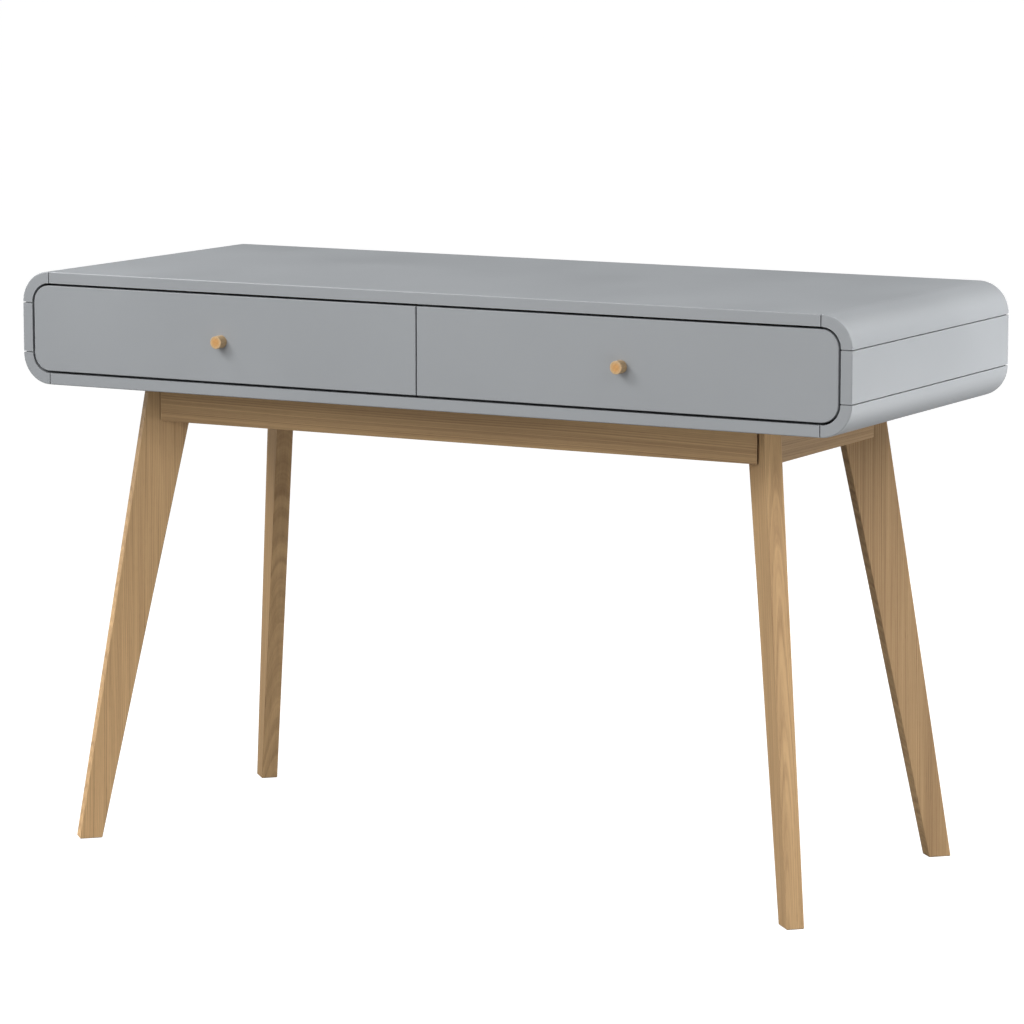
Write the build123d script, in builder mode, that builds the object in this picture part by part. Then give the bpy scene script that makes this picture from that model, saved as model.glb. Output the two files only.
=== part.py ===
from build123d import *
import os

os.makedirs("parts", exist_ok=True)

# Writing desk: a flat lacquered case with rounded corners and two drawers, on a splayed oak frame.
# +X runs to the right along the desk, +Y to its back, +Z up. The floor is z = 0.

# ---------------------------------------------------------------- driving dimensions, in millimetres

# Whole desk
desk_width = 1200
desk_depth = 484
desk_height = 758
case_height = 149

# Case: a band of board that runs round the drawers
wall = 15
corner_r = 41
edge_r = 1.5
seam_w = 1.6
seam_depth = 3
back_thickness = 9
back_set_in = 2
rebate_w = 8
back_gap = 0.5
divider_thickness = 15
divider_set_back = 20
dado_depth = 2
tongue_thickness = 4
tongue_reach = 8
tongue_inset = 30
tongue_play = 0.2

# Drawer fronts and knobs
front_thickness = 18
front_gap = 3.2
centre_gap = 1.7
front_edge_r = 1
knob_r = 8.25
knob_length = 14
knob_drop = 3.5
knob_offset = 1.5
knob_edge_r = 0.8

# Drawer boxes
box_board = 12
box_length = 405
box_height = 90
box_lift = 12
bottom_thickness = 4
bottom_lift = 6
groove_depth = 5
groove_play = 0.2
bottom_play = 0.5

# Ball-bearing drawer slides
slide_length = 400
slide_height = 27
slide_depth = 10
slide_sheet = 1.2
slide_set_back = 3
slide_holes = (35, 195, 355)
spare_slide_holes = (67, 227, 323)
cabinet_reach = 9.4
drawer_member_height = 19.2
drawer_member_reach = 5.6
ball_r = 1.5875
race_play = 0.3
ball_x = 6.4
ball_z = 10.95
cage_length = 95
cage_start = 152.5
cage_web_x = 3.2
cage_web = 0.6
cage_flange = 0.8
cage_reach = 5.4
balls_per_row = 6
ball_pitch = 15
cage_hole_r = 1.8

# Oak frame
frame_width = 914
frame_depth = 324
rail_height = 50
rail_thickness = 20
rail_edge_r = 1
mitre_gap = 2.6
mitre_block = 160
leg_thickness = 23
leg_top_width = 64.5
leg_foot_width = 30.5
leg_spread = 72.3
leg_edge_r = 1.2
foot_chamfer = 1
block_height = 44
block_back = 98
bolt_r = 4
bolt_length = 80
bolt_into_leg = 30
bolt_drops = (12, 32)
nut_flats = 13
nut_height = 6
nut_flange_r = 9
nut_flange_height = 2

# Screws
hole_play = 0.1
frame_screw_r = 2
frame_screw_length = 25
frame_screw_in_block = 11
frame_screw_offset = 99
frame_screw_drops = (11, 33)
case_screw_side = 25
case_screw_back = 85
case_screw_in_panel = 12
pocket_r = 4.6
case_screw_pocket = 40
rail_screw_pocket = 20
box_screw_r = 1.75
box_screw_length = 25
box_screw_drops = (18, 70)
box_screw_inset = 60
slide_screw_r = 1.75
slide_screw_length = 12
slide_head_r = 3
slide_head_height = 1.5
back_screw_r = 1.5
back_screw_length = 20
back_head_r = 2.9
back_head_height = 1.8
back_screw_xs = (-500, -250, 250, 500)
back_screw_inset = 25
knob_screw_r = 2
knob_screw_length = 40
knob_head_r = 4
knob_head_height = 2.4

# ---------------------------------------------------------------- positions that follow from them

# The origin is on the floor under the middle of the desk's outline, knobs included.
mid_y = knob_length / 2
front_y = mid_y - desk_depth / 2
back_y = mid_y + desk_depth / 2

case_bottom = desk_height - case_height
floor_z = case_bottom + wall
ceiling_z = desk_height - wall
inner_x = desk_width / 2 - wall
flat_x = desk_width / 2 - corner_r
arc_low = case_bottom + corner_r
arc_high = desk_height - corner_r
divider_x = divider_thickness / 2
divider_front = front_y + divider_set_back
back_face_y = back_y - back_set_in
back_panel_y = back_face_y - back_thickness

front_low = floor_z + front_gap
front_high = ceiling_z - front_gap
front_inner_x = centre_gap / 2
front_outer_x = inner_x - front_gap
knob_x = (front_inner_x + front_outer_x) / 2 - knob_offset
knob_z = (front_low + front_high) / 2 - knob_drop

box_inner_x = divider_x + slide_depth
box_outer_x = inner_x - slide_depth
box_front_y = front_y + front_thickness
box_back_y = box_front_y + box_length
box_low = floor_z + box_lift
box_high = box_low + box_height
groove_low = box_low + bottom_lift
groove_high = groove_low + bottom_thickness + groove_play
box_screw_heights = [box_high - drop for drop in box_screw_drops]

slide_y = box_front_y + slide_set_back
slide_z = (box_low + box_high) / 2
race_r = ball_r + race_play

rail_low = case_bottom - rail_height
block_low = case_bottom - block_height
corner_x = frame_width / 2
corner_y = frame_depth / 2
diagonal = 2 ** 0.5
foot_out = leg_spread * diagonal
foot_in = foot_out - leg_foot_width
rail_inner_x = corner_x - rail_thickness
rail_inner_y = corner_y - rail_thickness

sides = (("left", -1), ("right", 1))
corners = (
    ("front_left", -1, -1),
    ("front_right", 1, -1),
    ("back_left", -1, 1),
    ("back_right", 1, 1),
)

# Cabinet wall, direction towards the drawer, and the holes used, for each slide.
# The two on the divider use different holes, so their screws pass each other.
slides = (
    ("left_drawer_left", -inner_x, 1, slide_holes),
    ("left_drawer_right", -divider_x, -1, slide_holes),
    ("right_drawer_left", divider_x, 1, spare_slide_holes),
    ("right_drawer_right", inner_x, -1, slide_holes),
)


# ---------------------------------------------------------------- helpers

def span(a, b):
    """The two limits in rising order."""
    return (min(a, b), max(a, b))


def block(x, y, z, mode=Mode.ADD):
    """Box between two limits on each axis."""
    with Locations((x[0], y[0], z[0])):
        Box(x[1] - x[0], y[1] - y[0], z[1] - z[0], align=(Align.MIN, Align.MIN, Align.MIN), mode=mode)


def save(builder, name):
    """Label a finished part and write it."""
    builder.part.label = name
    export_step(builder.part, "parts/" + name + ".step")


def front_plane(y):
    """Vertical plane across the desk at y: local x is +X, local y is +Z, and it faces the front."""
    return Plane(origin=(0, y, 0), x_dir=(1, 0, 0), z_dir=(0, -1, 0))


def corner_plane(sx, sy):
    """Upright diagonal plane of one leg: local x points outwards, local y is +Z."""
    return Plane(
        origin=(sx * corner_x, mid_y + sy * corner_y, 0),
        x_dir=(sx, sy, 0),
        z_dir=(sy, -sx, 0),
    )


def corner_point(sx, sy, out, across, z):
    """Point given by its distance outwards and sideways from a frame corner."""
    x = sx * corner_x + (sx * out + sy * across) / diagonal
    y = mid_y + sy * corner_y + (sy * out - sx * across) / diagonal
    return (x, y, z)


def spot(point, direction):
    """Where a screw sits: the top of its head, and the way the head faces."""
    return Plane(origin=point, z_dir=direction)


def countersunk_screws(spots, r, length):
    """Countersunk wood screws with a cross recess."""
    with Locations(*spots):
        Cylinder(r, length - 2 * r, align=(Align.CENTER, Align.CENTER, Align.MAX))
        Cone(r, 2 * r, r, align=(Align.CENTER, Align.CENTER, Align.MAX))
        with Locations((0, 0, 2 * r - length)):
            Cone(0.2 * r, r, 2 * r, align=(Align.CENTER, Align.CENTER, Align.MAX))
        Box(2.2 * r, 0.4 * r, 0.6 * r, align=(Align.CENTER, Align.CENTER, Align.MAX), mode=Mode.SUBTRACT)
        Box(0.4 * r, 2.2 * r, 0.6 * r, align=(Align.CENTER, Align.CENTER, Align.MAX), mode=Mode.SUBTRACT)


def countersunk_holes(spots, r, length, pocket=0):
    """Clearance for countersunk screws, with a pocket above the head where it is sunk deeper."""
    with Locations(*spots):
        Cylinder(r + hole_play, length + hole_play, align=(Align.CENTER, Align.CENTER, Align.MAX),
                 mode=Mode.SUBTRACT)
        Cone(r + hole_play, 2 * r + hole_play, r + hole_play,
             align=(Align.CENTER, Align.CENTER, Align.MAX), mode=Mode.SUBTRACT)
        if pocket > 0:
            Cylinder(pocket_r, pocket, align=(Align.CENTER, Align.CENTER, Align.MIN), mode=Mode.SUBTRACT)


def pan_screws(spots, r, length, head_r, head_height):
    """Pan-head screws; each spot is at the underside of the head."""
    with Locations(*spots):
        Cylinder(r, length - r, align=(Align.CENTER, Align.CENTER, Align.MAX))
        with Locations((0, 0, r - length)):
            Cone(0.3 * r, r, r, align=(Align.CENTER, Align.CENTER, Align.MAX))
        Cone(head_r, 0.7 * head_r, head_height, align=(Align.CENTER, Align.CENTER, Align.MIN))
        with Locations((0, 0, head_height)):
            Box(0.9 * head_r, 0.25 * head_r, 0.5 * head_height,
                align=(Align.CENTER, Align.CENTER, Align.MAX), mode=Mode.SUBTRACT)
            Box(0.25 * head_r, 0.9 * head_r, 0.5 * head_height,
                align=(Align.CENTER, Align.CENTER, Align.MAX), mode=Mode.SUBTRACT)


def round_holes(spots, r, length):
    """Clearance for plain shanks that start at the given spots."""
    with Locations(*spots):
        Cylinder(r + hole_play, length + hole_play, align=(Align.CENTER, Align.CENTER, Align.MAX),
                 mode=Mode.SUBTRACT)


# ---------------------------------------------------------------- where the fasteners sit

case_screw_spots = []
rail_screw_spots = []
bolt_spots = []
bolt_heights = [case_bottom - drop for drop in bolt_drops]
for _, sx, sy in corners:
    for across in (-case_screw_side, case_screw_side):
        head_z = case_bottom + case_screw_in_panel - frame_screw_length
        case_screw_spots.append(spot(corner_point(sx, sy, -case_screw_back, across, head_z), (0, 0, -1)))
    for z in [case_bottom - drop for drop in frame_screw_drops]:
        x = sx * (corner_x - frame_screw_offset)
        y = mid_y + sy * (rail_inner_y - frame_screw_in_block)
        rail_screw_spots.append(spot((x, y, z), (0, -sy, 0)))
        x = sx * (rail_inner_x - frame_screw_in_block)
        y = mid_y + sy * (corner_y - frame_screw_offset)
        rail_screw_spots.append(spot((x, y, z), (-sx, 0, 0)))
    for z in bolt_heights:
        inner_out = foot_in - (foot_in + leg_top_width) * z / case_bottom
        start = inner_out + bolt_into_leg
        bolt_spots.append(spot(corner_point(sx, sy, start, 0, z), (sx, sy, 0)))

shoulder_mid = rebate_w / 2
back_screw_points = []
for x in back_screw_xs:
    back_screw_points.append((x, back_face_y, ceiling_z + shoulder_mid))
    back_screw_points.append((x, back_face_y, floor_z - shoulder_mid))
for x in (-inner_x - shoulder_mid, inner_x + shoulder_mid):
    back_screw_points.append((x, back_face_y, (arc_low + arc_high) / 2))
for z in (floor_z + back_screw_inset, ceiling_z - back_screw_inset):
    back_screw_points.append((0, back_face_y, z))
back_screw_spots = [spot(point, (0, 1, 0)) for point in back_screw_points]

cabinet_screw_spots = []
member_screw_spots = {"left": [], "right": []}
for name, wall_x, towards, holes in slides:
    for hole in holes:
        y = slide_y + hole
        cabinet_screw_spots.append(spot((wall_x + towards * slide_sheet, y, slide_z), (towards, 0, 0)))
        member_x = wall_x + towards * (slide_depth - slide_sheet)
        drawer_side = name.split("_")[0]
        member_screw_spots[drawer_side].append(spot((member_x, y, slide_z), (-towards, 0, 0)))


# ---------------------------------------------------------------- case

def tongue_slot(x, z):
    """Slot for a loose tongue, open at a seam."""
    block(x, (front_y + tongue_inset, back_y - tongue_inset), z, mode=Mode.SUBTRACT)


def flat_panel(name, sz):
    """Top panel (sz = 1) or bottom panel (sz = -1), with a short groove at each end of its edges."""
    outer_z = desk_height if sz > 0 else case_bottom
    inner_z = outer_z - sz * wall
    middle = outer_z - sz * wall / 2
    with BuildPart() as panel:
        block((seam_w - flat_x, flat_x - seam_w), (front_y, back_y), span(outer_z, inner_z))
        outer_face = panel.faces().sort_by(Axis.Z)[-1 if sz > 0 else 0]
        fillet(outer_face.edges().filter_by(Axis.X), edge_r)
        block((-flat_x, flat_x), (front_y + seam_depth, back_y - seam_depth), span(outer_z, inner_z))
        block((-flat_x, flat_x), (back_panel_y, back_y), span(inner_z, inner_z + sz * rebate_w),
              mode=Mode.SUBTRACT)
        block((-divider_x, divider_x), (divider_front, back_panel_y),
              span(inner_z, inner_z + sz * dado_depth), mode=Mode.SUBTRACT)
        for sx in (-1, 1):
            tongue_slot(span(sx * flat_x, sx * (flat_x - tongue_reach)),
                        (middle - tongue_thickness / 2, middle + tongue_thickness / 2))
        round_holes(back_screw_spots, back_screw_r, back_screw_length)
        if sz < 0:
            countersunk_holes(case_screw_spots, frame_screw_r, frame_screw_length)
    save(panel, name)


def side_panel(name, sx):
    """Side panel between two curved corners, with a fine groove at each end."""
    outer_x = sx * desk_width / 2
    wall_x = sx * inner_x
    middle = sx * (inner_x + wall / 2)
    with BuildPart() as panel:
        block(span(outer_x, wall_x), (front_y, back_y), (arc_low + seam_w, arc_high - seam_w))
        outer_face = panel.faces().sort_by(Axis.X)[-1 if sx > 0 else 0]
        fillet(outer_face.edges().filter_by(Axis.Z), edge_r)
        block(span(outer_x - sx * seam_depth, wall_x), (front_y + seam_depth, back_y - seam_depth),
              (arc_low, arc_high))
        block(span(wall_x, wall_x + sx * rebate_w), (back_panel_y, back_y), (arc_low, arc_high),
              mode=Mode.SUBTRACT)
        tongue_slot(span(middle - tongue_thickness / 2, middle + tongue_thickness / 2),
                    (arc_low, arc_low + tongue_reach))
        tongue_slot(span(middle - tongue_thickness / 2, middle + tongue_thickness / 2),
                    (arc_high - tongue_reach, arc_high))
        round_holes(back_screw_spots, back_screw_r, back_screw_length)
        round_holes(cabinet_screw_spots, slide_screw_r, slide_screw_length)
    save(panel, name)


def corner_piece(name, sx, sz):
    """Quarter-round corner of the case."""
    centre_x = sx * flat_x
    centre_z = arc_high if sz > 0 else arc_low
    quadrant = (Align.MIN if sx > 0 else Align.MAX, Align.MIN if sz > 0 else Align.MAX)
    middle_r = corner_r - wall / 2
    with BuildPart() as piece:
        with BuildSketch(front_plane(front_y)):
            with Locations((centre_x, centre_z)):
                Circle(corner_r)
                Circle(corner_r - wall, mode=Mode.SUBTRACT)
                Rectangle(corner_r, corner_r, align=quadrant, mode=Mode.INTERSECT)
        extrude(amount=-desk_depth)
        fillet(piece.edges().filter_by(GeomType.CIRCLE).sort_by(SortBy.RADIUS)[-2:], edge_r)
        with BuildSketch(front_plane(back_panel_y)):
            with Locations((centre_x, centre_z)):
                Circle(corner_r - wall + rebate_w)
        extrude(amount=back_panel_y - back_y, mode=Mode.SUBTRACT)
        tongue_slot(span(centre_x, centre_x + sx * tongue_reach),
                    span(centre_z + sz * (middle_r - tongue_thickness / 2),
                         centre_z + sz * (middle_r + tongue_thickness / 2)))
        tongue_slot(span(centre_x + sx * (middle_r - tongue_thickness / 2),
                         centre_x + sx * (middle_r + tongue_thickness / 2)),
                    span(centre_z, centre_z + sz * tongue_reach))
    save(piece, name)


flat_panel("top_panel", 1)
flat_panel("bottom_panel", -1)
for side, sx in sides:
    side_panel(side + "_side_panel", sx)
    corner_piece("top_" + side + "_corner", sx, 1)
    corner_piece("bottom_" + side + "_corner", sx, -1)

# Loose tongues, one across each of the eight seams
with BuildPart() as corner_tongues:
    tongue_y = (front_y + tongue_inset, back_y - tongue_inset)
    reach = tongue_reach - tongue_play
    for sx in (-1, 1):
        for z in (desk_height - wall / 2, case_bottom + wall / 2):
            block((sx * flat_x - reach, sx * flat_x + reach), tongue_y,
                  (z - tongue_thickness / 2, z + tongue_thickness / 2))
        for z in (arc_low, arc_high):
            middle = sx * (inner_x + wall / 2)
            block((middle - tongue_thickness / 2, middle + tongue_thickness / 2), tongue_y,
                  (z - reach, z + reach))
save(corner_tongues, "corner_tongues")

# Upright between the drawers, housed in the top and bottom panels
with BuildPart() as centre_divider:
    block((-divider_x, divider_x), (divider_front, back_panel_y),
          (floor_z - dado_depth, ceiling_z + dado_depth))
    round_holes(back_screw_spots, back_screw_r, back_screw_length)
    round_holes(cabinet_screw_spots, slide_screw_r, slide_screw_length)
save(centre_divider, "centre_divider")

# Back panel, let into a rebate round the case
with BuildPart() as back_panel:
    with BuildSketch(front_plane(back_panel_y)):
        with Locations((0, (floor_z + ceiling_z) / 2)):
            RectangleRounded(2 * (inner_x + rebate_w - back_gap),
                             case_height - 2 * (wall - rebate_w + back_gap),
                             corner_r - wall + rebate_w - back_gap)
    extrude(amount=-back_thickness)
    round_holes(back_screw_spots, back_screw_r, back_screw_length)
save(back_panel, "back_panel")

with BuildPart() as back_panel_screws:
    pan_screws(back_screw_spots, back_screw_r, back_screw_length, back_head_r, back_head_height)
save(back_panel_screws, "back_panel_screws")


# ---------------------------------------------------------------- oak frame

def leg(name, sx, sy):
    """Plank leg set on the diagonal: it leans outwards and its width tapers to the floor."""
    with BuildPart() as part:
        with BuildSketch(corner_plane(sx, sy)):
            with BuildLine():
                Polyline(
                    (0, case_bottom),
                    (-leg_top_width, case_bottom),
                    (foot_in, 0),
                    (foot_out, 0),
                    close=True,
                )
            make_face()
        extrude(amount=leg_thickness / 2, both=True)
        upright = part.edges().filter_by(lambda edge: abs(edge.tangent_at(0.5).Z) > 0.9)
        fillet(upright, leg_edge_r)
        foot = part.faces().sort_by(Axis.Z)[0]
        chamfer(foot.edges(), foot_chamfer)
        round_holes(bolt_spots, bolt_r, bolt_length)
    save(part, name)


def mitre_cut(sx, sy, facing):
    """Remove what lies beyond one side of a leg, so that the rail stops just short of it."""
    across = facing * (leg_thickness / 2 + mitre_gap - mitre_block / 2)
    centre = corner_point(sx, sy, -mitre_block / 4, across, rail_low + rail_height / 2)
    with Locations(Plane(origin=centre, x_dir=(sx, sy, 0), z_dir=(0, 0, 1))):
        Box(2 * mitre_block, mitre_block, rail_height, mode=Mode.SUBTRACT)


def long_rail(name, sy):
    """Front or back rail, mitred to the sides of the legs."""
    with BuildPart() as part:
        block((-corner_x, corner_x), span(mid_y + sy * corner_y, mid_y + sy * rail_inner_y),
              (rail_low, case_bottom))
        fillet(part.faces().sort_by(Axis.Z)[0].edges().filter_by(Axis.X), rail_edge_r)
        for sx in (-1, 1):
            mitre_cut(sx, sy, -sx * sy)
        countersunk_holes(rail_screw_spots, frame_screw_r, frame_screw_length)
    save(part, name)


def short_rail(name, sx):
    """Side rail, mitred to the sides of the legs."""
    with BuildPart() as part:
        block(span(sx * corner_x, sx * rail_inner_x), (mid_y - corner_y, mid_y + corner_y),
              (rail_low, case_bottom))
        fillet(part.faces().sort_by(Axis.Z)[0].edges().filter_by(Axis.Y), rail_edge_r)
        for sy in (-1, 1):
            mitre_cut(sx, sy, sx * sy)
        countersunk_holes(rail_screw_spots, frame_screw_r, frame_screw_length)
    save(part, name)


def corner_block(name, sx, sy):
    """Block that ties a leg to its two rails and to the case; its outer face follows the leg."""
    low_out = foot_in - (foot_in + leg_top_width) * block_low / case_bottom
    with BuildPart() as part:
        with BuildSketch(corner_plane(sx, sy)):
            with BuildLine():
                Polyline(
                    (-leg_top_width, case_bottom),
                    (-block_back, case_bottom),
                    (-block_back, block_low),
                    (low_out, block_low),
                    close=True,
                )
            make_face()
        extrude(amount=block_back, both=True)
        block(span(0, sx * rail_inner_x), span(mid_y, mid_y + sy * rail_inner_y), (block_low, case_bottom),
              mode=Mode.INTERSECT)
        round_holes(bolt_spots, bolt_r, bolt_length)
        countersunk_holes(case_screw_spots, frame_screw_r, frame_screw_length, pocket=case_screw_pocket)
        countersunk_holes(rail_screw_spots, frame_screw_r, frame_screw_length, pocket=rail_screw_pocket)
    save(part, name)


for name, sx, sy in corners:
    leg(name + "_leg", sx, sy)
    corner_block(name + "_corner_block", sx, sy)
long_rail("front_rail", -1)
long_rail("back_rail", 1)
for side, sx in sides:
    short_rail(side + "_rail", sx)

# Hanger bolts: wood thread in the leg, machine thread through the corner block
with BuildPart() as leg_bolts:
    with Locations(*bolt_spots):
        Cylinder(bolt_r, bolt_length, align=(Align.CENTER, Align.CENTER, Align.MAX))
save(leg_bolts, "leg_bolts")

with BuildPart() as leg_bolt_nuts:
    for _, sx, sy in corners:
        for z in bolt_heights:
            seat = spot(corner_point(sx, sy, -block_back, 0, z), (-sx, -sy, 0))
            with BuildSketch(seat):
                RegularPolygon(nut_flats / 2, 6, major_radius=False)
                Circle(bolt_r + hole_play, mode=Mode.SUBTRACT)
            extrude(amount=nut_height)
            with BuildSketch(seat):
                Circle(nut_flange_r)
                Circle(bolt_r + hole_play, mode=Mode.SUBTRACT)
            extrude(amount=nut_flange_height)
save(leg_bolt_nuts, "leg_bolt_nuts")

with BuildPart() as frame_screws:
    countersunk_screws(case_screw_spots + rail_screw_spots, frame_screw_r, frame_screw_length)
save(frame_screws, "frame_screws")


# ---------------------------------------------------------------- drawer slides

def slide_plane(wall_x, towards, y):
    """Cross-section plane of a slide: local x runs from the case wall to the drawer."""
    return Plane(origin=(wall_x, y, slide_z), x_dir=(towards, 0, 0), z_dir=(0, 1, 0))


def races():
    """Ball tracks along both flanges."""
    with Locations((ball_x, ball_z), (ball_x, -ball_z)):
        Circle(race_r, mode=Mode.SUBTRACT)


def cabinet_member(name, wall_x, towards):
    """Fixed channel of a slide, screwed to the case."""
    with BuildPart() as part:
        with BuildSketch(slide_plane(wall_x, towards, slide_y)):
            Rectangle(cabinet_reach, slide_height, align=(Align.MIN, Align.CENTER))
            with Locations((slide_sheet, 0)):
                Rectangle(cabinet_reach, slide_height - 2 * slide_sheet, align=(Align.MIN, Align.CENTER),
                          mode=Mode.SUBTRACT)
            races()
        extrude(amount=slide_length)
        round_holes(cabinet_screw_spots, slide_screw_r, slide_screw_length)
    save(part, name)


def drawer_member(name, wall_x, towards):
    """Moving channel of a slide, screwed to the drawer."""
    with BuildPart() as part:
        with BuildSketch(slide_plane(wall_x, towards, slide_y)):
            with Locations((slide_depth, 0)):
                Rectangle(drawer_member_reach, drawer_member_height, align=(Align.MAX, Align.CENTER))
            with Locations((slide_depth - slide_sheet, 0)):
                Rectangle(drawer_member_reach, drawer_member_height - 2 * slide_sheet,
                          align=(Align.MAX, Align.CENTER), mode=Mode.SUBTRACT)
            races()
        extrude(amount=slide_length)
        round_holes(member_screw_spots[name.split("_")[0]], slide_screw_r, slide_screw_length)
    save(part, name)


def ball_cage(name, wall_x, towards):
    """Cage that spaces two rows of steel balls between the members."""
    height = 2 * (ball_z + cage_flange / 2)
    with BuildPart() as part:
        with BuildSketch(slide_plane(wall_x, towards, slide_y + cage_start)):
            with Locations((cage_web_x, 0)):
                Rectangle(cage_reach, height, align=(Align.MIN, Align.CENTER))
            with Locations((cage_web_x + cage_web, 0)):
                Rectangle(cage_reach, height - 2 * cage_flange, align=(Align.MIN, Align.CENTER),
                          mode=Mode.SUBTRACT)
        extrude(amount=cage_length)
        first = slide_y + cage_start + (cage_length - (balls_per_row - 1) * ball_pitch) / 2
        centres = []
        for i in range(balls_per_row):
            for dz in (-ball_z, ball_z):
                centres.append((wall_x + towards * ball_x, first + i * ball_pitch, slide_z + dz))
        with Locations(*centres):
            Cylinder(cage_hole_r, 2 * cage_flange, mode=Mode.SUBTRACT)
            Sphere(ball_r)
    save(part, name)


for name, wall_x, towards, holes in slides:
    cabinet_member(name + "_cabinet_member", wall_x, towards)
    drawer_member(name + "_drawer_member", wall_x, towards)
    ball_cage(name + "_ball_cage", wall_x, towards)

with BuildPart() as cabinet_slide_screws:
    pan_screws(cabinet_screw_spots, slide_screw_r, slide_screw_length, slide_head_r, slide_head_height)
save(cabinet_slide_screws, "cabinet_slide_screws")


# ---------------------------------------------------------------- drawers

def drawer(side, sx):
    """One drawer: flush front, box, knob and fasteners."""
    near = sx * box_inner_x
    far = sx * box_outer_x
    near_inside = sx * (box_inner_x + box_board)
    far_inside = sx * (box_outer_x - box_board)
    knob_seat = spot((sx * knob_x, front_y, knob_z), (0, -1, 0))
    knob_screw_seat = spot((sx * knob_x, box_front_y + box_board, knob_z), (0, 1, 0))

    box_screw_spots = []
    for z in box_screw_heights:
        for y in (box_front_y + box_board / 2, box_back_y - box_board / 2):
            box_screw_spots.append(spot((near, y, z), (-sx, 0, 0)))
            box_screw_spots.append(spot((far, y, z), (sx, 0, 0)))
        for x in (near_inside + sx * box_screw_inset, far_inside - sx * box_screw_inset):
            box_screw_spots.append(spot((x, box_front_y + box_board, z), (0, 1, 0)))

    with BuildPart() as front:
        with BuildSketch(front_plane(front_y)) as outline:
            with Locations((sx * (front_inner_x + front_outer_x) / 2, (front_low + front_high) / 2)):
                Rectangle(front_outer_x - front_inner_x, front_high - front_low)
            fillet(outline.vertices().group_by(Axis.X)[-1 if sx > 0 else 0], corner_r - wall - front_gap)
        extrude(amount=-front_thickness)
        fillet(front.faces().sort_by(Axis.Y)[0].edges(), front_edge_r)
        countersunk_holes(box_screw_spots, box_screw_r, box_screw_length)
        round_holes([knob_screw_seat], knob_screw_r, knob_screw_length)
    save(front, side + "_drawer_front")

    with BuildPart() as box_front:
        block(span(near_inside, far_inside), (box_front_y, box_front_y + box_board), (box_low, box_high))
        block(span(near_inside, far_inside),
              (box_front_y + box_board - groove_depth, box_front_y + box_board),
              (groove_low, groove_high), mode=Mode.SUBTRACT)
        countersunk_holes(box_screw_spots, box_screw_r, box_screw_length)
        round_holes([knob_screw_seat], knob_screw_r, knob_screw_length)
    save(box_front, side + "_drawer_box_front")

    with BuildPart() as box_back:
        block(span(near_inside, far_inside), (box_back_y - box_board, box_back_y), (box_low, box_high))
        block(span(near_inside, far_inside),
              (box_back_y - box_board, box_back_y - box_board + groove_depth),
              (groove_low, groove_high), mode=Mode.SUBTRACT)
        countersunk_holes(box_screw_spots, box_screw_r, box_screw_length)
    save(box_back, side + "_drawer_back")

    for label, outer, inner in (("inner", near, near_inside), ("outer", far, far_inside)):
        out = 1 if outer > inner else -1
        with BuildPart() as box_side:
            block(span(outer, inner), (box_front_y, box_back_y), (box_low, box_high))
            block(span(inner, inner + out * groove_depth),
                  (box_front_y + box_board - groove_depth, box_back_y - box_board + groove_depth),
                  (groove_low, groove_high), mode=Mode.SUBTRACT)
            countersunk_holes(box_screw_spots, box_screw_r, box_screw_length)
            round_holes(member_screw_spots[side], slide_screw_r, slide_screw_length)
        save(box_side, side + "_drawer_" + label + "_side")

    with BuildPart() as bottom:
        reach = groove_depth - bottom_play
        block(span(near_inside - sx * reach, far_inside + sx * reach),
              (box_front_y + box_board - reach, box_back_y - box_board + reach),
              (groove_low, groove_low + bottom_thickness))
    save(bottom, side + "_drawer_bottom")

    with BuildPart() as knob:
        with BuildSketch(knob_seat):
            Circle(knob_r)
        extrude(amount=knob_length)
        fillet(knob.faces().sort_by(Axis.Y)[0].edges(), knob_edge_r)
        round_holes([knob_screw_seat], knob_screw_r, knob_screw_length)
    save(knob, side + "_knob")

    with BuildPart() as knob_screw:
        pan_screws([knob_screw_seat], knob_screw_r, knob_screw_length, knob_head_r, knob_head_height)
    save(knob_screw, side + "_knob_screw")

    with BuildPart() as box_screws:
        countersunk_screws(box_screw_spots, box_screw_r, box_screw_length)
    save(box_screws, side + "_drawer_box_screws")

    with BuildPart() as member_screws:
        pan_screws(member_screw_spots[side], slide_screw_r, slide_screw_length,
                   slide_head_r, slide_head_height)
    save(member_screws, side + "_drawer_slide_screws")


for side, sx in sides:
    drawer(side, sx)
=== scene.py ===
import math

import bpy
from mathutils import Matrix, Vector


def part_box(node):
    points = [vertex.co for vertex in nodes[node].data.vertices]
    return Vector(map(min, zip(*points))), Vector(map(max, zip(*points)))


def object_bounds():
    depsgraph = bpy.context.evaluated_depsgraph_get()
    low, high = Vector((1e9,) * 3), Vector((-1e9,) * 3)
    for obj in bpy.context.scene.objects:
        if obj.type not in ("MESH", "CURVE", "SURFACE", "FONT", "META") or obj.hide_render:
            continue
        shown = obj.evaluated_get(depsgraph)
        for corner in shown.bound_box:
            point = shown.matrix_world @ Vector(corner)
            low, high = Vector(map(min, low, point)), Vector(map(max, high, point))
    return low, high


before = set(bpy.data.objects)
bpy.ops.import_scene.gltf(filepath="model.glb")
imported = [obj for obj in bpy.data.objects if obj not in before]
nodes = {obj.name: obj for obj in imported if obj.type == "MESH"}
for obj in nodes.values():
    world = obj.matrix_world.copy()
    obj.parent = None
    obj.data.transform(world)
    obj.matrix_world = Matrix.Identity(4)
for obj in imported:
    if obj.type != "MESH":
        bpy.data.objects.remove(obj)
cad_low, cad_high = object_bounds()

# Everything is in metres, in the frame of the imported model: +X along the desk, +Y to its back, +Z up.

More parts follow.
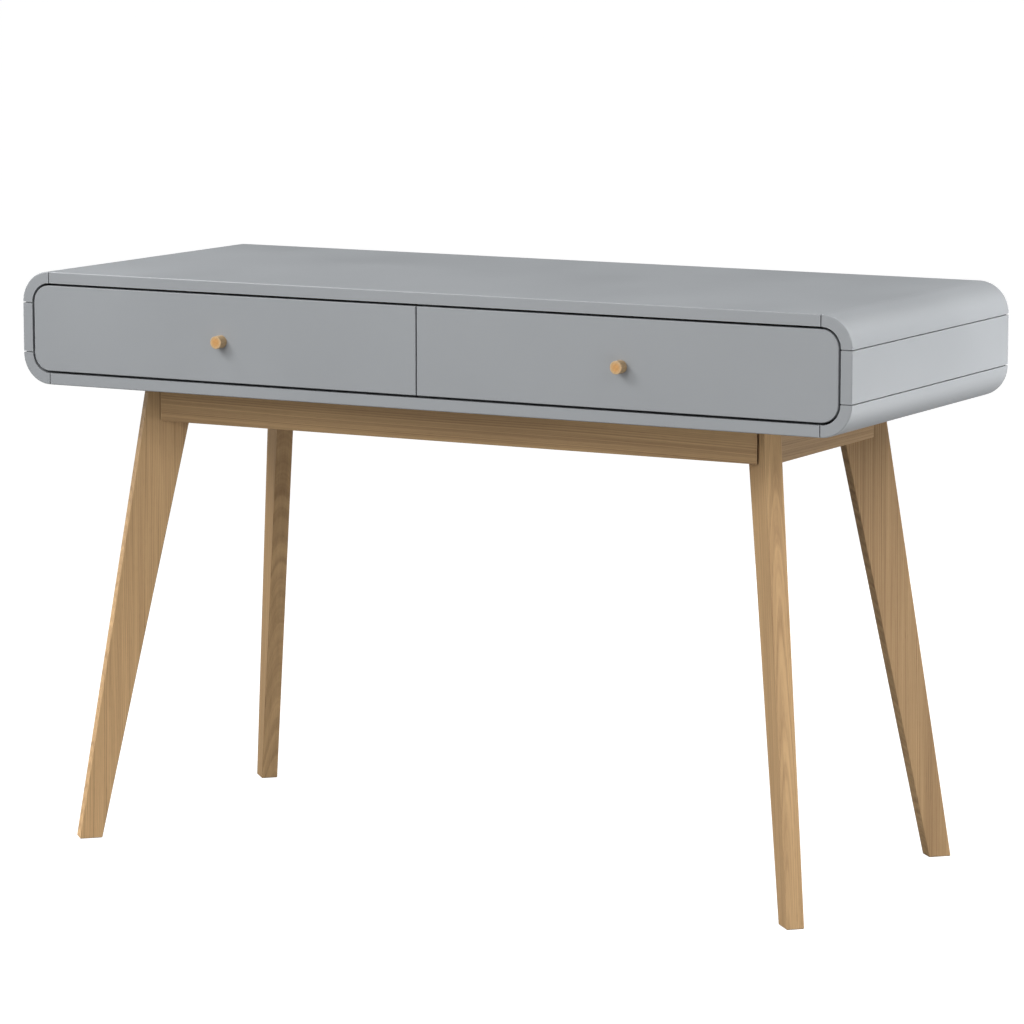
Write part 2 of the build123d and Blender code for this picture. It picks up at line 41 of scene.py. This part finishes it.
X = Vector((1, 0, 0))
Y = Vector((0, 1, 0))
Z = Vector((0, 0, 1))
DIAGONAL = math.sqrt(0.5)
CORNERS = (
    ("front_left", -1, -1),
    ("front_right", 1, -1),
    ("back_left", -1, 1),
    ("back_right", 1, 1),
)
SIDES = ("left", "right")


# ---------------------------------------------------------------- camera

CAMERA_AZIMUTH = math.radians(28.88)
CAMERA_ELEVATION = math.radians(8.5)
CAMERA_DISTANCE = 5.71
CAMERA_AIM = Vector((0.008, 0, 0.449))
# Focal length and sensor width are in millimetres.
CAMERA_LENS = 153.3
CAMERA_SENSOR = 36
CAMERA_REACH = 200


def from_angles(azimuth, elevation):
    """Unit vector from the desk towards a point round to the right of its front."""
    flat = math.cos(elevation)
    return Vector((math.sin(azimuth) * flat, -math.cos(azimuth) * flat, math.sin(elevation)))


def add_camera():
    """Long lens in front of the desk, to its right and a little above it."""
    data = bpy.data.cameras.new("camera")
    data.lens = CAMERA_LENS
    data.sensor_width = CAMERA_SENSOR
    data.clip_end = CAMERA_REACH
    camera = bpy.data.objects.new("camera", data)
    back = from_angles(CAMERA_AZIMUTH, CAMERA_ELEVATION)
    camera.location = CAMERA_AIM + CAMERA_DISTANCE * back
    camera.rotation_mode = "QUATERNION"
    camera.rotation_quaternion = (-back).to_track_quat("-Z", "Y")
    bpy.context.scene.collection.objects.link(camera)
    bpy.context.scene.camera = camera


# ---------------------------------------------------------------- shader building blocks

# Most of a noise's values lie between these two.
NOISE_LOW = 0.3
NOISE_HIGH = 0.7


class Shader:
    """One material's nodes. Most methods add a node and return the socket to use next."""

    def __init__(self, name):
        self.material = bpy.data.materials.new(name)
        self.material.use_nodes = True
        self.tree = self.material.node_tree
        self.tree.nodes.clear()
        output = self.tree.nodes.new("ShaderNodeOutputMaterial")
        self.surface = self.tree.nodes.new("ShaderNodeBsdfPrincipled")
        self.tree.links.new(self.surface.outputs[0], output.inputs["Surface"])
        self.place = self.tree.nodes.new("ShaderNodeTexCoord").outputs["Object"]

    def node(self, kind, *values, **settings):
        made = self.tree.nodes.new(kind)
        for key, value in settings.items():
            setattr(made, key, value)
        for socket, value in zip(made.inputs, values):
            self.feed(socket, value)
        return made

    def feed(self, socket, value):
        if isinstance(value, bpy.types.NodeSocket):
            self.tree.links.new(value, socket)
        else:
            socket.default_value = value

    def maths(self, operation, *values):
        return self.node("ShaderNodeMath", *values, operation=operation).outputs[0]

    def vector(self, operation, *values):
        made = self.node("ShaderNodeVectorMath", *values, operation=operation)
        return made.outputs["Value" if operation in ("LENGTH", "DOT_PRODUCT") else "Vector"]

    def parts(self, vector):
        """A vector's three numbers, as sockets named X, Y and Z."""
        return self.node("ShaderNodeSeparateXYZ", vector).outputs

    def noise_node(self, place, frequency, detail=2, rough=0.5):
        """Noise with a frequency on each axis, in cycles per metre."""
        made = self.node("ShaderNodeTexNoise", self.vector("MULTIPLY", place, frequency))
        made.inputs["Scale"].default_value = 1
        made.inputs["Detail"].default_value = detail
        made.inputs["Roughness"].default_value = rough
        return made

    def noise(self, place, frequency, **settings):
        return self.noise_node(place, frequency, **settings).outputs[0]

    def span(self, value, low, high, to_low=0.0, to_high=1.0, smooth=False):
        """Value taken from one range to another, clamped."""
        made = self.node("ShaderNodeMapRange", value, low, high, to_low, to_high)
        made.interpolation_type = "SMOOTHSTEP" if smooth else "LINEAR"
        return made.outputs[0]

    def spread(self, noise, to_low=0.0, to_high=1.0):
        """Noise taken from its usual range to another, clamped."""
        return self.span(noise, NOISE_LOW, NOISE_HIGH, to_low, to_high)

    def mix(self, share, first, second):
        made = self.node("ShaderNodeMix", data_type="RGBA")
        self.feed(made.inputs[0], share)
        self.feed(made.inputs[6], first)
        self.feed(made.inputs[7], second)
        return made.outputs[2]

    def bump(self, height, distance, strength):
        made = self.node("ShaderNodeBump")
        made.inputs["Strength"].default_value = strength
        made.inputs["Distance"].default_value = distance
        self.feed(made.inputs["Height"], height)
        self.feed(self.surface.inputs["Normal"], made.outputs[0])

    def worn_and_highlit(self, base, tint, radius, low, high, most):
        """The base colour with a share of the tint, up to `most`, where the surface turns over an edge:
        partly edge wear and partly a painted highlight on the edge. The share is full where the normal of
        an edge rounded by `radius` and the flat one agree by `low` or less, as a dot product, and nothing
        where they agree by `high` or more."""
        bevel = self.node("ShaderNodeBevel", radius, samples=4).outputs[0]
        flat = self.node("ShaderNodeNewGeometry").outputs["True Normal"]
        edges = self.span(self.vector("DOT_PRODUCT", bevel, flat), high, low)
        return self.mix(self.maths("MULTIPLY", edges, most), base, tint)

    def finish(self, **values):
        """Sets the surface's inputs, with _ for a space in their names, and returns the material."""
        for name, value in values.items():
            self.feed(self.surface.inputs[name.replace("_", " ")], value)
        return self.material


def colour(red, green, blue):
    """Linear colour of an sRGB one."""
    parts = []
    for part in (red, green, blue):
        part = part / 255
        parts.append(part / 12.92 if part <= 0.04045 else ((part + 0.055) / 1.055) ** 2.4)
    return (*parts, 1)


def shaded(tint, shade):
    """A colour with its light scaled."""
    return (*(shade * part for part in tint[:3]), 1)


def even(value):
    """The same number on all three axes."""
    return (value, value, value)


def board_place(shader, origin, face, grain):
    """Coordinates in a board: side and face run across the grain, and the last runs along it."""
    turn = Matrix((face.cross(grain), face, grain))
    mapping = shader.node("ShaderNodeMapping", shader.place, vector_type="POINT")
    mapping.inputs["Rotation"].default_value = turn.to_euler()
    mapping.inputs["Location"].default_value = -(turn @ origin)
    return mapping.outputs[0]


def shift(shader, place, seed):
    """Coordinates moved to another part of the noise, so that no two boards are alike."""
    return shader.vector("ADD", place, (seed, 2 * seed, 3 * seed))


def middle(name):
    low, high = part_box(name)
    return (low + high) / 2


def give(material, *node_names):
    """Put one material on some of the model's nodes."""
    for name in node_names:
        mesh = nodes[name].data
        mesh.materials.clear()
        mesh.materials.append(material)


# ---------------------------------------------------------------- oak

OAK_LIGHT = colour(194, 161, 118)
OAK_DARK = colour(134, 105, 74)
OAK_PORE = colour(96, 72, 46)
# Lighter colour for the edges: partly wear, partly a painted highlight
OAK_WEAR_AND_HIGHLIGHT = colour(212, 186, 148)

# The width of a year's ring, how far the pith line sways, and by how many widths the rings drift
RING = 0.0026
PITH_SWAY = 0.014
RING_DRIFT = 2.2

# Shares of a ring: its early wood has set in by the first, is full until the second and ends at the third
EARLY_SET = 0.2
EARLY_FULL = 0.25
EARLY_END = 0.8

# How often the years change going out from the pith, in cycles per metre, and how many times as often
# the strength of their early wood and their seasons do
YEARS_CHANGE = 90.0
STRENGTH_CHANGE = (2, 1, 1)
SEASONS_CHANGE = (8, 1, 1)

# Frequencies across the board, in the face direction and along the grain, in cycles per metre
OAK_SWAY = (7, 7, 1.6)
OAK_CLOUDS = (28, 28, 2.2)
OAK_STREAKS = (170, 170, 1.3)
OAK_FIBRES = (900, 900, 14)
OAK_VESSELS = (2600, 2600, 60)

# How much each layer of the figure darkens the wood
CLOUDS_TONE = 0.12
RINGS_TONE = 0.24
SEASONS_TONE = 0.4
STREAKS_TONE = 0.26
FIBRES_TONE = 0.16
PORES_TONE = 0.35

# How a board was cut from its log: where the pith line passes its middle, and how far the line drifts for
# each metre of grain, both as a distance across the board and one in the face direction
FACE_CUT = ((0, 0.14), (0, -0.02))
EDGE_CUT = ((0.003, 0.014), (-0.022, 0.028))
RAIL_CUT = ((0, 0.16), (0, -0.012))
BLOCK_CUT = ((0, 0.12), (0, -0.012))

# How far the outer edge of a leg leans from upright, how far it is from the middle of the leg's box, and
# half the height over which painted shade darkens a leg towards its top, under the case
EDGE_SLOPE = 0.168
EDGE_OUT = 0.033
LEG_HALF = 0.3

# For each leg: its tone, partly the wood's own and partly painted shade (darker on the back legs), how much
# painted shade darkens it towards its top, and whether it was cut along its outer edge
LEG_TONES_AND_SHADE = {
    "front_left": (1.4, 0.26, False),
    "front_right": (1.3, 0.0, True),
    "back_left": (1.0, 0.05, True),
    "back_right": (0.85, 0.08, False),
}

# For each rail: the direction of its grain, and its tone, partly the wood's own and partly painted shade
# (the right rail is darker for the shade under the case)
RAIL_TONES_AND_SHADE = {
    "front": (X, 1.16),
    "back": (X, 1.0),
    "left": (Y, 1.0),
    "right": (Y, 0.7),
}
BLOCK_TONE = 1.0


def pith_distance(s, place, shifted, cut):
    """Distance of each point of a board from the swaying middle of its log."""
    pith, drift = cut
    sway = s.noise_node(shifted, OAK_SWAY).outputs["Color"]
    centred = s.vector("SUBTRACT", sway, even(0.5))
    swayed = s.vector("ADD", place, s.vector("MULTIPLY", centred, (PITH_SWAY, PITH_SWAY, 0)))
    parts = s.parts(swayed)
    across = s.maths("MULTIPLY_ADD", parts["Z"], -drift[0], s.maths("SUBTRACT", parts["X"], pith[0]))
    deep = s.maths("MULTIPLY_ADD", parts["Z"], -drift[1], s.maths("SUBTRACT", parts["Y"], pith[1]))
    squares = s.maths("ADD", s.maths("POWER", across, 2.0), s.maths("POWER", deep, 2.0))
    return s.maths("SQRT", squares)


def oak(name, origin, face, grain, cut, shade, painted_shade_fade, seed):
    """Ring-porous oak. Where a face runs along the rings, it shows arches, and elsewhere straight lines.
    The argument before the seed is painted shade: how much darker the board gets along the grain towards
    its top, and lighter towards its foot."""
    s = Shader(name)
    place = board_place(s, origin, face, grain)
    shifted = shift(s, place, seed)

    from_pith = pith_distance(s, place, shifted, cut)
    year = s.maths("MULTIPLY", from_pith, YEARS_CHANGE)
    years = s.node("ShaderNodeCombineXYZ", year, seed).outputs[0]
    drift = s.maths("MULTIPLY", s.noise(years, even(1), detail=1), RING_DRIFT)
    phase = s.maths("FRACT", s.maths("MULTIPLY_ADD", from_pith, 1 / RING, drift))
    rise = s.span(phase, 0, EARLY_SET, smooth=True)
    fall = s.span(phase, EARLY_END, EARLY_FULL, smooth=True)
    strength = s.span(s.noise(years, STRENGTH_CHANGE, detail=1), 0.35, 0.65, to_low=0.25)
    rings = s.maths("MULTIPLY", s.maths("MULTIPLY", rise, fall), strength)
    seasons = s.span(s.noise(years, SEASONS_CHANGE, detail=3, rough=0.6), 0.32, 0.68)

    clouds = s.noise(shifted, OAK_CLOUDS)
    streaks = s.noise(shifted, OAK_STREAKS, detail=3, rough=0.6)
    fibres = s.noise(shifted, OAK_FIBRES, detail=3, rough=0.6)
    vessels = s.noise(shifted, OAK_VESSELS, detail=1)
    pores = s.maths("MULTIPLY", s.span(vessels, 0.57, 0.7), s.span(rings, 0, 1, to_low=0.25))

    tone = s.maths("MULTIPLY_ADD", rings, RINGS_TONE, s.spread(clouds, -CLOUDS_TONE, CLOUDS_TONE))
    tone = s.maths("MULTIPLY_ADD", seasons, SEASONS_TONE, tone)
    tone = s.maths("MULTIPLY_ADD", s.spread(streaks), STREAKS_TONE, tone)
    tone = s.maths("MULTIPLY_ADD", s.spread(fibres), FIBRES_TONE, tone)
    # Painted shade: the board is lighter at its foot and darker at its head, as if shaded under the case
    along = s.span(s.parts(place)["Z"], -LEG_HALF, LEG_HALF)
    painted_lit_foot = shade * (1 + painted_shade_fade)
    painted_shaded_head = shade * (1 - painted_shade_fade)
    light = s.mix(along, shaded(OAK_LIGHT, painted_lit_foot), shaded(OAK_LIGHT, painted_shaded_head))
    dark = s.mix(along, shaded(OAK_DARK, painted_lit_foot), shaded(OAK_DARK, painted_shaded_head))
    base = s.mix(tone, light, dark)
    pored = s.mix(s.maths("MULTIPLY", pores, PORES_TONE), base, shaded(OAK_PORE, shade))
    # Lighter edges: partly wear, partly a painted highlight where the edges catch the light
    worn_and_highlit = s.worn_and_highlit(pored, OAK_WEAR_AND_HIGHLIGHT, radius=0.0012, low=0.86, high=0.995, most=0.25)

    s.bump(s.maths("SUBTRACT", s.maths("MULTIPLY", fibres, 0.35), pores), distance=0.0001, strength=0.6)
    gloss = s.span(s.maths("ADD", fibres, pores), 0.3, 1.4, to_low=0.58, to_high=0.74)
    return s.finish(Base_Color=worn_and_highlit, Roughness=gloss, IOR=1.45, Specular_IOR_Level=0.32)


def finish_legs():
    for number, (corner, sx, sy) in enumerate(CORNERS):
        leg = corner + "_leg"
        out = Vector((sx * DIAGONAL, sy * DIAGONAL, 0))
        shade, painted_shade_fade, along_edge = LEG_TONES_AND_SHADE[corner]
        if along_edge:
            origin = middle(leg) + EDGE_OUT * out
            face = (out + EDGE_SLOPE * Z).normalized()
            grain = (Z - EDGE_SLOPE * out).normalized()
            cut = EDGE_CUT
        else:
            origin = middle(leg)
            face = out
            grain = Z
            cut = FACE_CUT
        seed = 3.1 + 1.7 * number
        give(oak("oak_" + leg, origin, face, grain, cut, shade, painted_shade_fade, seed), leg)


def finish_blocks():
    for number, (corner, _, _) in enumerate(CORNERS):
        block = corner + "_corner_block"
        face = X if number % 2 else Y
        seed = 11.3 + 2.3 * number
        give(oak("oak_" + block, middle(block), face, Z, BLOCK_CUT, BLOCK_TONE, 0, seed), block)


def finish_rails():
    for number, (side, (grain, shade)) in enumerate(RAIL_TONES_AND_SHADE.items()):
        rail = side + "_rail"
        seed = 21.7 + 1.9 * number
        give(oak("oak_" + rail, middle(rail), Z, grain, RAIL_CUT, shade, 0, seed), rail)


# ---------------------------------------------------------------- knobs

KNOB_CORE = colour(216, 162, 96)
KNOB_RIM = colour(210, 180, 138)
KNOB_GRAIN = colour(150, 112, 72)

# Where the knob's middle lies from the log's, the width of a year's ring, the share of the knob's radius
# that is all core, and the frequencies of fibres and pores
KNOB_PITH = (0.021, 0.016, 0)
KNOB_RING = 0.0022
KNOB_CORE_SHARE = 0.35
KNOB_FIBRES = (900, 900, 60)
KNOB_PORES = (2400, 2400, 90)

# How much each layer of a knob's figure darkens it
KNOB_RINGS_TONE = 0.16
KNOB_FIBRES_TONE = 0.3
KNOB_PORES_TONE = 0.3


def turned_oak(name, low, high, seed):
    """Turned oak with its grain along the knob: the cut end is more golden at the core than at the rim."""
    s = Shader(name)
    radius = (high.x - low.x) / 2
    place = board_place(s, (low + high) / 2, Z, Y)
    shifted = shift(s, place, seed)
    parts = s.parts(place)
    flat = s.node("ShaderNodeCombineXYZ", parts["X"], parts["Y"]).outputs[0]
    from_pith = s.vector("LENGTH", s.vector("ADD", flat, KNOB_PITH))
    rings = s.maths("PINGPONG", s.maths("MULTIPLY", from_pith, 1 / KNOB_RING), 1.0)
    fibres = s.noise(shifted, KNOB_FIBRES, detail=3, rough=0.6)
    pores = s.span(s.noise(shifted, KNOB_PORES, detail=1), 0.56, 0.68)

    rim = s.span(s.vector("LENGTH", flat), KNOB_CORE_SHARE * radius, radius, smooth=True)
    core = s.mix(rim, KNOB_CORE, KNOB_RIM)
    tone = s.maths("MULTIPLY_ADD", rings, KNOB_RINGS_TONE, s.spread(fibres, 0, KNOB_FIBRES_TONE))
    base = s.mix(tone, core, KNOB_GRAIN)
    pored = s.mix(s.maths("MULTIPLY", pores, KNOB_PORES_TONE), base, OAK_PORE)
    # Lighter edges: partly wear, partly a painted highlight where the edges catch the light
    worn_and_highlit = s.worn_and_highlit(pored, OAK_WEAR_AND_HIGHLIGHT, radius=0.0008, low=0.86, high=0.995, most=0.25)

    s.bump(s.maths("SUBTRACT", s.maths("MULTIPLY", fibres, 0.4), pores), distance=0.00008, strength=0.6)
    gloss = s.span(s.maths("ADD", fibres, pores), 0.3, 1.4, to_low=0.48, to_high=0.64)
    return s.finish(Base_Color=worn_and_highlit, Roughness=gloss, IOR=1.45)


def finish_knobs():
    for number, side in enumerate(SIDES):
        knob = side + "_knob"
        give(turned_oak("oak_" + knob, *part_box(knob), 31.1 + 4.3 * number), knob)


# ---------------------------------------------------------------- lacquer

LACQUER = colour(150, 153, 156)
LACQUER_PALE = colour(152, 155, 158)
# Lighter colour for the edges: partly wear, partly a painted highlight
LACQUER_WEAR_AND_HIGHLIGHT = colour(196, 198, 200)

# Frequencies on all axes, in cycles per metre
LACQUER_CLOUDS = even(6)
LACQUER_PEEL = even(420)
LACQUER_DUST = even(2600)


def grey_lacquer():
    """Satin sprayed lacquer on smooth board: even, with a trace of orange peel, and edges lightened partly
    as wear and partly as a painted highlight.
    """
    s = Shader("grey_lacquer")
    clouds = s.noise(s.place, LACQUER_CLOUDS, detail=3)
    peel = s.noise(s.place, LACQUER_PEEL, rough=0.45)
    dust = s.noise(s.place, LACQUER_DUST, detail=1)
    base = s.mix(s.span(clouds, 0.35, 0.65), LACQUER, LACQUER_PALE)
    # Lighter edges: partly wear, partly a painted highlight where the rounded edges catch the light
    worn_and_highlit = s.worn_and_highlit(base, LACQUER_WEAR_AND_HIGHLIGHT, radius=0.0014, low=0.82, high=0.99, most=0.35)
    s.bump(s.maths("MULTIPLY_ADD", dust, 0.2, peel), distance=0.00005, strength=0.5)
    gloss = s.span(s.maths("MULTIPLY_ADD", dust, 0.3, clouds), 0.45, 0.85, to_low=0.44, to_high=0.52)
    return s.finish(Base_Color=worn_and_highlit, Roughness=gloss, IOR=1.45)


def finish_lacquer():
    names = ["top_panel", "bottom_panel", "centre_divider", "back_panel"]
    for side in SIDES:
        names += [
            side + "_side_panel",
            side + "_drawer_front",
            "top_" + side + "_corner",
            "bottom_" + side + "_corner",
        ]
    give(grey_lacquer(), *names)


# ---------------------------------------------------------------- birch plywood

# The thickness of a ply
PLY = 0.00145

BIRCH_LIGHT = colour(226, 205, 170)
BIRCH_DARK = colour(201, 174, 133)
BIRCH_END_LIGHT = colour(196, 165, 122)
BIRCH_END_DARK = colour(170, 136, 95)
GLUE = colour(120, 88, 58)

# Frequencies across the board, in the face direction and along the grain, in cycles per metre
BIRCH_FIGURE = (60, 60, 4)
BIRCH_FIBRES = (1400, 1400, 40)
BIRCH_ENDS = even(900)

# How much each layer of the figure darkens the wood
BIRCH_FIGURE_TONE = 0.5
BIRCH_FIBRES_TONE = 0.35
GLUE_TONE = 0.5

# For each board of a drawer: its face direction, its grain, and 1 if its middle ply runs across the grain
BOARDS = {
    "box_front": (Y, X, 0),
    "back": (Y, X, 0),
    "inner_side": (X, Y, 0),
    "outer_side": (X, Y, 0),
    "bottom": (Z, X, 1),
}


def plywood(name, origin, face, grain, core, seed):
    """Birch plywood: plies that alternate through the board, with the outer ones along the grain. `core`
    is 1 where that makes the middle ply run across the grain, and 0 where it doesn't."""
    s = Shader(name)
    place = board_place(s, origin, face, grain)
    shifted = shift(s, place, seed)
    count = s.maths("MULTIPLY_ADD", s.parts(place)["Y"], 1 / PLY, core)
    crossed = s.maths("GREATER_THAN", s.maths("PINGPONG", count, 1.0), 0.5)
    to_glue = s.maths("PINGPONG", s.maths("ADD", count, 0.5), 0.5)
    glue = s.span(to_glue, 0, 0.1, to_low=1, to_high=0)

    figure = s.noise(shifted, BIRCH_FIGURE, detail=3)
    fibres = s.noise(shifted, BIRCH_FIBRES, rough=0.55)
    ends = s.noise(shifted, BIRCH_ENDS, rough=0.55)
    tone = s.spread(figure, 0, BIRCH_FIGURE_TONE)
    tone = s.maths("MULTIPLY_ADD", s.spread(fibres), BIRCH_FIBRES_TONE, tone)
    along = s.mix(tone, BIRCH_LIGHT, BIRCH_DARK)
    across = s.mix(s.spread(ends), BIRCH_END_LIGHT, BIRCH_END_DARK)
    base = s.mix(crossed, along, across)
    glued = s.mix(s.maths("MULTIPLY", glue, GLUE_TONE), base, GLUE)
    s.bump(s.maths("ADD", fibres, s.maths("MULTIPLY", ends, 0.4)), distance=0.00008, strength=0.6)
    return s.finish(Base_Color=glued, Roughness=s.spread(fibres, 0.5, 0.64), IOR=1.46)


def finish_boards():
    for number, side in enumerate(SIDES):
        for place, (part, (face, grain, core)) in enumerate(BOARDS.items()):
            board = side + "_drawer_" + part
            seed = 5.3 * number + 1.7 * place
            give(plywood("plywood_" + board, middle(board), face, grain, core, seed), board)
    tongues = "corner_tongues"
    give(plywood("plywood_" + tongues, middle(tongues), Z, Y, 1, 17.9), tongues)


# ---------------------------------------------------------------- metal

SLIDE_LIGHT = colour(190, 193, 197)
SLIDE_DARK = colour(166, 169, 174)
ZINC_LIGHT = colour(200, 200, 196)
ZINC_DARK = colour(172, 170, 160)
STEEL_WORN = colour(226, 228, 230)

# Frequencies in cycles per metre. The rolling marks are long in the direction of the desk's depth.
STEEL_MARKS = even(1800)
STEEL_ROLLED = (1500, 20, 1500)
STEEL_CLOUDS = even(40)


def steel(name, light, dark, rough_low, rough_high):
    """Zinc-plated steel with rolling marks along the desk's depth."""
    s = Shader(name)
    marks = s.noise(s.place, STEEL_MARKS)
    rolled = s.noise(s.place, STEEL_ROLLED, detail=3, rough=0.6)
    clouds = s.noise(s.place, STEEL_CLOUDS, detail=3)
    base = s.mix(s.span(s.maths("ADD", clouds, rolled), 0.7, 1.3), light, dark)
    worn = s.worn_and_highlit(base, STEEL_WORN, radius=0.0006, low=0.85, high=0.99, most=0.4)
    s.bump(s.maths("MULTIPLY_ADD", marks, 0.3, rolled), distance=0.00003, strength=0.6)
    gloss = s.span(s.maths("ADD", clouds, marks), 0.7, 1.3, to_low=rough_low, to_high=rough_high)
    return s.finish(Base_Color=worn, Roughness=gloss, Metallic=1.0)


def finish_metal():
    slides = []
    screws = ["back_panel_screws", "leg_bolts", "leg_bolt_nuts", "frame_screws", "cabinet_slide_screws"]
    for side in SIDES:
        for end in SIDES:
            stem = side + "_drawer_" + end
            slides += [stem + "_cabinet_member", stem + "_drawer_member", stem + "_ball_cage"]
        screws += [side + "_knob_screw", side + "_drawer_box_screws", side + "_drawer_slide_screws"]
    give(steel("slide_steel", SLIDE_LIGHT, SLIDE_DARK, rough_low=0.34, rough_high=0.48), *slides)
    give(steel("zinc_steel", ZINC_LIGHT, ZINC_DARK, rough_low=0.3, rough_high=0.46), *screws)


# ---------------------------------------------------------------- floor and light

FLOOR_SIZE = 120.0
FLOOR_GREY = (0.2, 0.2, 0.2, 1)
FLOOR_GLOW = 1.0
WHITE = (1, 1, 1, 1)
SKY_STRENGTH = 0.02

# Each softbox: its name, where it stands, its width and height, and its power in watts. The last one lights
# the back of the desk, and is low enough to leave the top alone.
SOFTBOXES = (
    ("front_high", (-0.4, -2.35, 2.3), 1.6, 1.6, 24),
    ("front_low", (-0.5, -2.9, 1.1), 1.6, 1.6, 26),
    ("corner_left", (-1.5, -1.8, 2.3), 0.9, 0.9, 28),
    ("high_left", (-1.5, -0.2, 2.3), 0.9, 0.9, 24),
    ("end_left", (-2.2, -0.2, 0.9), 0.9, 0.9, 12.5),
    ("corner_right", (1.5, -1.0, 1.5), 0.9, 0.9, 5),
    ("high_right", (2.2, 0.8, 2.3), 1.6, 1.6, 80),
    ("low_front_right", (1.3, -1.0, 0.22), 0.9, 0.4, 2.8),
    ("low_back_right", (1.4, 0.5, 0.22), 0.9, 0.4, 8.5),
    ("back_low", (-0.7, 2.4, 0.5), 1.2, 0.4, 16),
)


def add_floor():
    """Wide pale floor that the desk stands on. Seen by the camera it glows, so that it stays near white,
    but it doesn't light the desk that way."""
    half = FLOOR_SIZE / 2
    corners = [(-half, -half, 0), (half, -half, 0), (half, half, 0), (-half, half, 0)]
    mesh = bpy.data.meshes.new("floor")
    mesh.from_pydata(corners, [], [(0, 1, 2, 3)])
    floor = bpy.data.objects.new("floor", mesh)
    floor.location.z = cad_low.z
    bpy.context.scene.collection.objects.link(floor)
    s = Shader("pale_floor")
    seen = s.node("ShaderNodeLightPath").outputs["Is Camera Ray"]
    glow = s.maths("MULTIPLY", seen, FLOOR_GLOW)
    mesh.materials.append(s.finish(
        Base_Color=FLOOR_GREY,
        Roughness=0.9,
        Specular_IOR_Level=0.0,
        Emission_Color=WHITE,
        Emission_Strength=glow,
    ))


def add_softbox(name, place, width, height, power):
    """Soft light that faces the middle of the desk and isn't seen itself."""
    data = bpy.data.lights.new(name, "AREA")
    data.shape = "RECTANGLE"
    data.size = width
    data.size_y = height
    data.energy = power
    light = bpy.data.objects.new(name, data)
    light.location = place
    light.visible_camera = False
    light.rotation_mode = "QUATERNION"
    light.rotation_quaternion = (CAMERA_AIM - light.location).to_track_quat("-Z", "Y")
    bpy.context.scene.collection.objects.link(light)


def add_light():
    world = bpy.data.worlds.new("studio")
    world.use_nodes = True
    sky = world.node_tree.nodes["Background"]
    sky.inputs["Color"].default_value = WHITE
    sky.inputs["Strength"].default_value = SKY_STRENGTH
    bpy.context.scene.world = world
    for softbox in SOFTBOXES:
        add_softbox(*softbox)


# ---------------------------------------------------------------- everything together

bpy.context.scene.view_settings.view_transform = "Standard"
add_camera()
finish_legs()
finish_blocks()
finish_rails()
finish_knobs()
finish_lacquer()
finish_boards()
finish_metal()
add_floor()
add_light()
